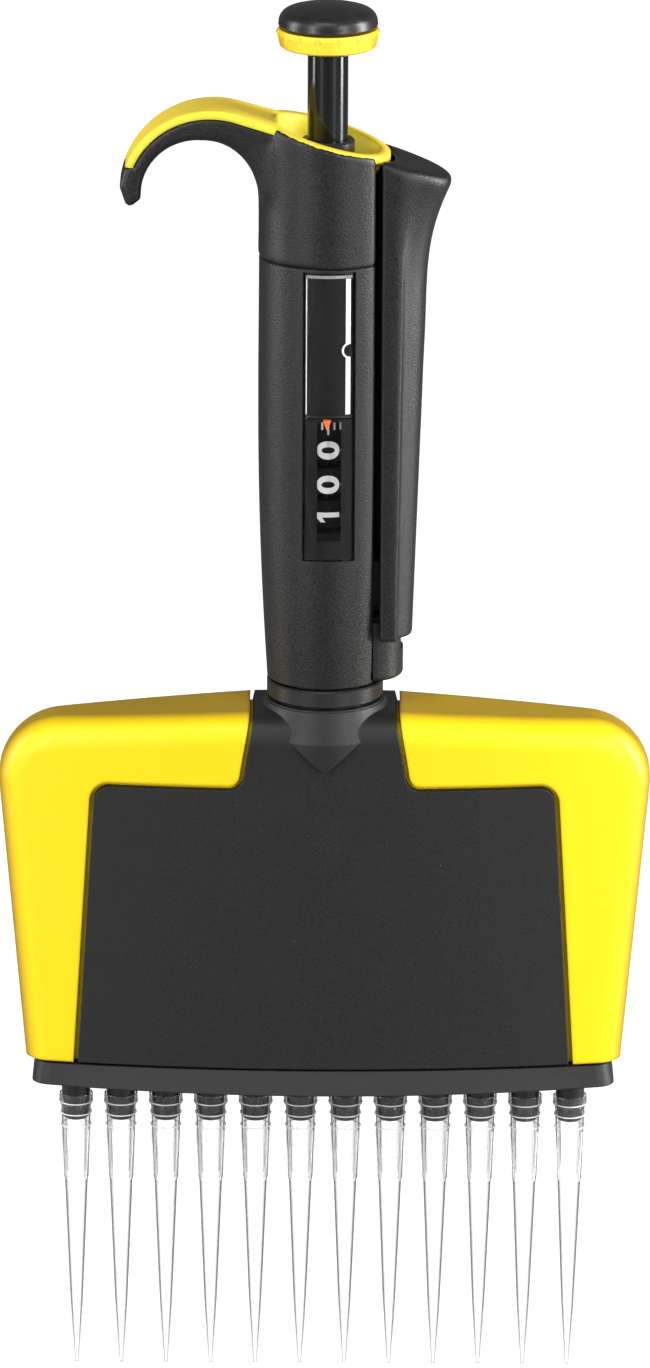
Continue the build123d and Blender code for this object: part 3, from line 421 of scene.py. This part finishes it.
def digit_shape(digit):
    """One bold digit lying flat in millimetres, centred on the origin, its top towards +Y."""
    curve = bpy.data.curves.new("digit", "FONT")
    curve.body = str(digit)
    curve.offset = 0.034
    curve.resolution_u = 5
    text = bpy.data.objects.new("digit", curve)
    bpy.context.collection.objects.link(text)
    graph = bpy.context.evaluated_depsgraph_get()
    mesh = bpy.data.meshes.new_from_object(text.evaluated_get(graph))
    bpy.data.objects.remove(text)
    bpy.data.curves.remove(curve)
    xs = [v.co.x for v in mesh.vertices]
    ys = [v.co.y for v in mesh.vertices]
    scale = CAP_HEIGHT / (max(ys) - min(ys))
    middle = Vector(((max(xs) + min(xs)) / 2, (max(ys) + min(ys)) / 2, 0))
    for vert in mesh.vertices:
        vert.co = (vert.co - middle) * scale
        vert.co.x *= DIGIT_WIDER
    bm = bmesh.new()
    bm.from_mesh(mesh)
    bpy.data.meshes.remove(mesh)
    cut_across(bm, 1, BEND_STEP, CAP_HEIGHT)
    return bm


def one_shape():
    """The digit 1 as a bold stem with a flag, lying flat and centred like the other digits."""
    top = CAP_HEIGHT / 2
    left, right, flag_left = -0.15, 0.85, -1.15
    stem = [(left, -top), (right, -top), (right, top), (left, top)]
    flag = [(flag_left, top - 1.75), (left, top - 1.1), (left, top), (flag_left, top - 0.85)]
    bm = bmesh.new()
    for outline in (stem, flag):
        bm.faces.new([bm.verts.new((x, y, 0)) for x, y in outline])
    cut_across(bm, 1, BEND_STEP, CAP_HEIGHT)
    return bm


def tick_shape(length, shift):
    """One tick mark lying flat; shift places its middle along the drum."""
    bm = bmesh.new()
    end, side = length / 2, TICK_HALF_WIDTH
    corners = [(shift + x, y, 0) for x, y in ((-end, -side), (end, -side), (end, side), (-end, side))]
    bm.faces.new([bm.verts.new(c) for c in corners])
    return bm


def wrap(target, flat, z, turn):
    """Lays a flat mark on the drum: its x runs up the drum and its top turns towards -X at the front."""
    radius = DRUM_R + PRINT_LIFT
    for vert in flat.verts:
        angle = PRINT_TURN + turn - vert.co.y / radius
        vert.co = Vector((radius * math.sin(angle), -radius * math.cos(angle), z + vert.co.x))
    mesh = bpy.data.meshes.new("mark")
    flat.to_mesh(mesh)
    flat.free()
    target.from_mesh(mesh)
    bpy.data.meshes.remove(mesh)


def drum_print(body, z, shown, ticks=False):
    """Digits 0 to 9 round one drum, with the shown digit at the front when the part is at rest."""
    bm = bmesh.new()
    for digit in range(10):
        wrap(bm, one_shape() if digit == 1 else digit_shape(digit), z, DIGIT_STEP * ((shown - digit) % 10))
    if ticks:
        for i in range(TICKS):
            length, middle = (3.1, 198.2) if i % LONG_TICK_EVERY == 0 else (2.1, 198.7)
            wrap(bm, tick_shape(length, middle), 0, i * 2 * math.pi / TICKS)
    new_piece(body + "_print", bm, "print_white", body)


def surface_y(node):
    """Function that finds the front of a CAD node at (x, z), all in millimetres."""
    tree = node_tree(node)

    def find(x, z):
        hit = tree.ray_cast(Vector((x * MM, -0.1, z * MM)), Vector((0, 1, 0)))[0]
        return hit.y / MM if hit else None

    return find


def laid_on(name, rows, node, material):
    """Thin strip just under the clear cover of a curved CAD node, from rows of (z, left x, right x)."""
    front = surface_y(node)
    bm = bmesh.new()
    lines = []
    for z, left, right in rows:
        spots = [left + (right - left) * i / STRIP_CUTS for i in range(STRIP_CUTS + 1)]
        lines.append([bm.verts.new((x, front(x, z) + STRIP_DEPTH, z)) for x in spots])
    for low, high in zip(lines, lines[1:]):
        for i in range(STRIP_CUTS):
            bm.faces.new((low[i], low[i + 1], high[i + 1], high[i]))
    new_piece(name, bm, material, "handle")


def label_trim():
    """White border of the label, bent round its thumb notch, and painted highlights for the bright left and
    top edges of the clear cover.
    """
    left, right, low, high, notch_z = 3.7, 4.6, 201.7, 229.0, 214.6
    inner, outer = 1.3, 1.65
    step = 0.1
    rows = []
    for i in range(int((high - low) / step) + 1):
        z = low + step * i
        off = abs(z - notch_z)
        inside = math.sqrt(inner**2 - off**2) if off < inner else 0.0
        around = math.sqrt(outer**2 - off**2) if off < outer else 0.0
        rows.append((z, min(left, right - around), right - inside))
    laid_on("label_border", rows, "label_card", "print_white")
    pieces = 60
    # Painted highlights: thin lines on the card, white at the left and mid grey at the top, for the glints
    # along the edges of the clear cover.
    left_glint = [(low + (high - low) * i / pieces, -4.0, -3.8) for i in range(pieces + 1)]
    laid_on("cover_glint_left", left_glint, "label_card", "print_white")
    laid_on("cover_glint_top", [(high + 0.1, -4.1, 5.0), (high + 0.7, -4.1, 5.0)], "label_card", "painted_glint_grey")


def bracket_rib():
    """Black block that fills the slit between handle and button and moves with the button: a dark piece put
    there for the shade in the slit.
    """
    middle = Vector((10.0, 0.0, 167.0))
    size = Vector((1.36, 2.6, 4.2))
    bm = bmesh.new()
    bmesh.ops.create_cube(bm, size=1.0)
    for vert in bm.verts:
        vert.co = middle + vert.co * size
    bmesh.ops.bevel(bm, geom=list(bm.edges), offset=0.15, segments=2, affect="EDGES")
    new_piece("bracket_rib", bm, "satin_black", "ejector")


def tube_along(bm, points, radius, sides=6):
    """Adds a thin round bead that follows a list of points; it closes when the ends meet."""
    closed = (points[0] - points[-1]).length < 1e-6
    if closed:
        points = points[:-1]
    rings = []
    for i, point in enumerate(points):
        before = points[i - 1] if closed or i else point
        after = points[(i + 1) % len(points)] if closed or i + 1 < len(points) else point
        along = (after - before).normalized()
        side = along.cross(Vector((0, 0, 1)) if abs(along.z) < 0.7 else Vector((1, 0, 0))).normalized()
        up = side.cross(along)
        turns = [2 * math.pi * k / sides for k in range(sides)]
        rings.append([bm.verts.new(point + radius * (math.cos(t) * side + math.sin(t) * up)) for t in turns])
    pairs = list(zip(rings, rings[1:])) + ([(rings[-1], rings[0])] if closed else [])
    for low, high in pairs:
        for k in range(sides):
            bm.faces.new((low[k], low[(k + 1) % sides], high[(k + 1) % sides], high[k]))
    if not closed:
        bm.faces.new(rings[0])
        bm.faces.new(rings[-1])


TIP_COUNT, TIP_PITCH, FIRST_TIP_X = 12, 9.0, -49.5
BEAD_HEIGHTS = (56.0, 53.6, 51.0)
BEAD_PARTS = 32
RIB_ENDS = (50.2, 39.6)
RIB_COUNT = 8


def on_tip(x, radius, turn, z):
    """Point on the outside of the tip whose axis is at x."""
    return Vector((x + radius * math.sin(turn), -radius * math.cos(turn), z))


def tip_ridges():
    """Beads round the collar of each tip and fine ribs down its upper body, in a milkier plastic that paints
    the light they catch as white lines.
    """
    front = surface_y("tips")
    radius = {z: -front(FIRST_TIP_X, z) for z in (*BEAD_HEIGHTS, *RIB_ENDS)}
    bm = bmesh.new()
    for tip in range(TIP_COUNT):
        x = FIRST_TIP_X + TIP_PITCH * tip
        for z in BEAD_HEIGHTS:
            turns = [2 * math.pi * k / BEAD_PARTS for k in range(BEAD_PARTS + 1)]
            tube_along(bm, [on_tip(x, radius[z], turn, z) for turn in turns], 0.13)
        for rib in range(RIB_COUNT):
            turn = math.radians(360 / RIB_COUNT * rib + 12)
            tube_along(bm, [on_tip(x, radius[z], turn, z) for z in RIB_ENDS], 0.11)
    new_piece("tip_ridges", bm, "ridge_painted_glint", TIPS_BODY)


def pointer():
    """Red pointer that hangs over the tick marks of the units drum."""
    middle, half_width, top, tip = 0.15, 0.8, 200.55, 198.5
    y = surface_y("counter_mask")(middle, 200.4) - 0.02
    corners = ((middle - half_width, top), (middle, tip), (middle + half_width, top))
    bm = bmesh.new()
    bm.faces.new([bm.verts.new((x, y, z)) for x, z in corners])
    new_piece("pointer", bm, "pointer_red", "handle")


drum_print("units", 193.5, 0, ticks=True)
drum_print("tens", 186.5, 0)
drum_print("hundreds", 180.0, 1)
label_trim()
pointer()
bracket_rib()
tip_ridges()


# ---------------------------------------------------------------- stage, light and camera
def seen_directly(tree):
    """1 for rays from the camera, also through clear plastic, and 0 once a ray has bounced."""
    path = tree.nodes.new("ShaderNodeLightPath").outputs
    bounces = tree.nodes.new("ShaderNodeMath")
    tree.links.new(path["Diffuse Depth"], bounces.inputs[0])
    tree.links.new(path["Glossy Depth"], bounces.inputs[1])
    straight = tree.nodes.new("ShaderNodeMath")
    straight.operation = "LESS_THAN"
    tree.links.new(bounces.outputs[0], straight.inputs[0])
    straight.inputs[1].default_value = 0.5
    camera = tree.nodes.new("ShaderNodeMath")
    camera.operation = "MULTIPLY"
    tree.links.new(straight.outputs[0], camera.inputs[0])
    either = tree.nodes.new("ShaderNodeMath")
    either.operation = "MAXIMUM"
    tree.links.new(path["Is Camera Ray"], either.inputs[0])
    tree.links.new(path["Is Transmission Ray"], either.inputs[1])
    tree.links.new(either.outputs[0], camera.inputs[1])
    return camera.outputs[0]


def make_floor():
    """Plain pale floor, low enough for the tips to drop, that meets a pale sky far away."""
    floor_z, reach = -0.014, 12.0
    bm = bmesh.new()
    corners = ((-reach, -reach), (reach, -reach), (reach, reach), (-reach, reach))
    bm.faces.new([bm.verts.new((x, y, floor_z)) for x, y in corners])
    mesh = bpy.data.meshes.new("floor")
    bm.to_mesh(mesh)
    bm.free()
    floor = bpy.data.objects.new("floor", mesh)
    bpy.context.collection.objects.link(floor)
    s = Shader("floor")
    s.set(Base_Color=s.ramp(s.noise(300.0, 2.0), [(0.3, 0.24), (0.7, 0.26)]), Roughness=0.7)
    s.set(Emission_Color=grey(1.0), Emission_Strength=s.math("MULTIPLY", seen_directly(s.tree), 0.93))
    s.material.cycles.emission_sampling = "NONE"
    floor.data.materials.append(s.material)


def area_light(name, place, size, watts, aim=(0, 0, 0.14)):
    """Soft box that faces the object."""
    data = bpy.data.lights.new(name, "AREA")
    data.shape = "RECTANGLE"
    data.size, data.size_y = size
    data.energy = watts
    light = bpy.data.objects.new(name, data)
    light.location = place
    light.rotation_mode = "QUATERNION"
    light.rotation_quaternion = (Vector(aim) - Vector(place)).to_track_quat("-Z", "Y")
    bpy.context.collection.objects.link(light)


LIGHT_ON_OBJECT = 0.17


def make_world():
    """White for the camera, and a dimmer even light for the object."""
    world = bpy.data.worlds.new("studio")
    world.use_nodes = True
    tree = world.node_tree
    strength = tree.nodes.new("ShaderNodeMapRange")
    tree.links.new(seen_directly(tree), strength.inputs["Value"])
    strength.inputs["To Min"].default_value = LIGHT_ON_OBJECT
    strength.inputs["To Max"].default_value = 1.0
    background = tree.nodes["Background"]
    background.inputs["Color"].default_value = grey(1.0)
    tree.links.new(strength.outputs["Result"], background.inputs["Strength"])
    bpy.context.scene.world = world


def make_camera():
    """Camera in front and above, at the angle and distance of a long product lens."""
    distance, pitch, roll = 1.9, math.radians(17.0), math.radians(0.28)
    aim = Vector((0, 0, 0.14337))
    data = bpy.data.cameras.new("camera")
    data.sensor_width = 36.0
    data.lens = 252.7
    data.clip_start, data.clip_end = 0.05, 20.0
    camera = bpy.data.objects.new("camera", data)
    camera.location = aim + distance * Vector((0, -math.cos(pitch), math.sin(pitch)))
    turn = Matrix.Rotation(math.pi / 2 - pitch, 4, "X") @ Matrix.Rotation(roll, 4, "Z")
    camera.rotation_mode = "QUATERNION"
    camera.rotation_quaternion = turn.to_quaternion()
    bpy.context.collection.objects.link(camera)
    bpy.context.scene.camera = camera


make_floor()
make_world()
area_light("soft_box_left", (-0.85, -1.15, 0.60), (0.30, 1.3), 11.5)
area_light("soft_box_right", (0.85, -1.1, 0.55), (0.30, 1.3), 11.5)
area_light("strip_left", (-1.1, -0.05, 0.35), (0.30, 1.0), 9)
area_light("strip_right", (1.1, -0.05, 0.35), (0.30, 1.0), 22)
area_light("soft_box_top", (-0.15, -0.75, 1.35), (0.9, 0.5), 4.5)
make_camera()
bpy.context.scene.view_settings.view_transform = "Standard"
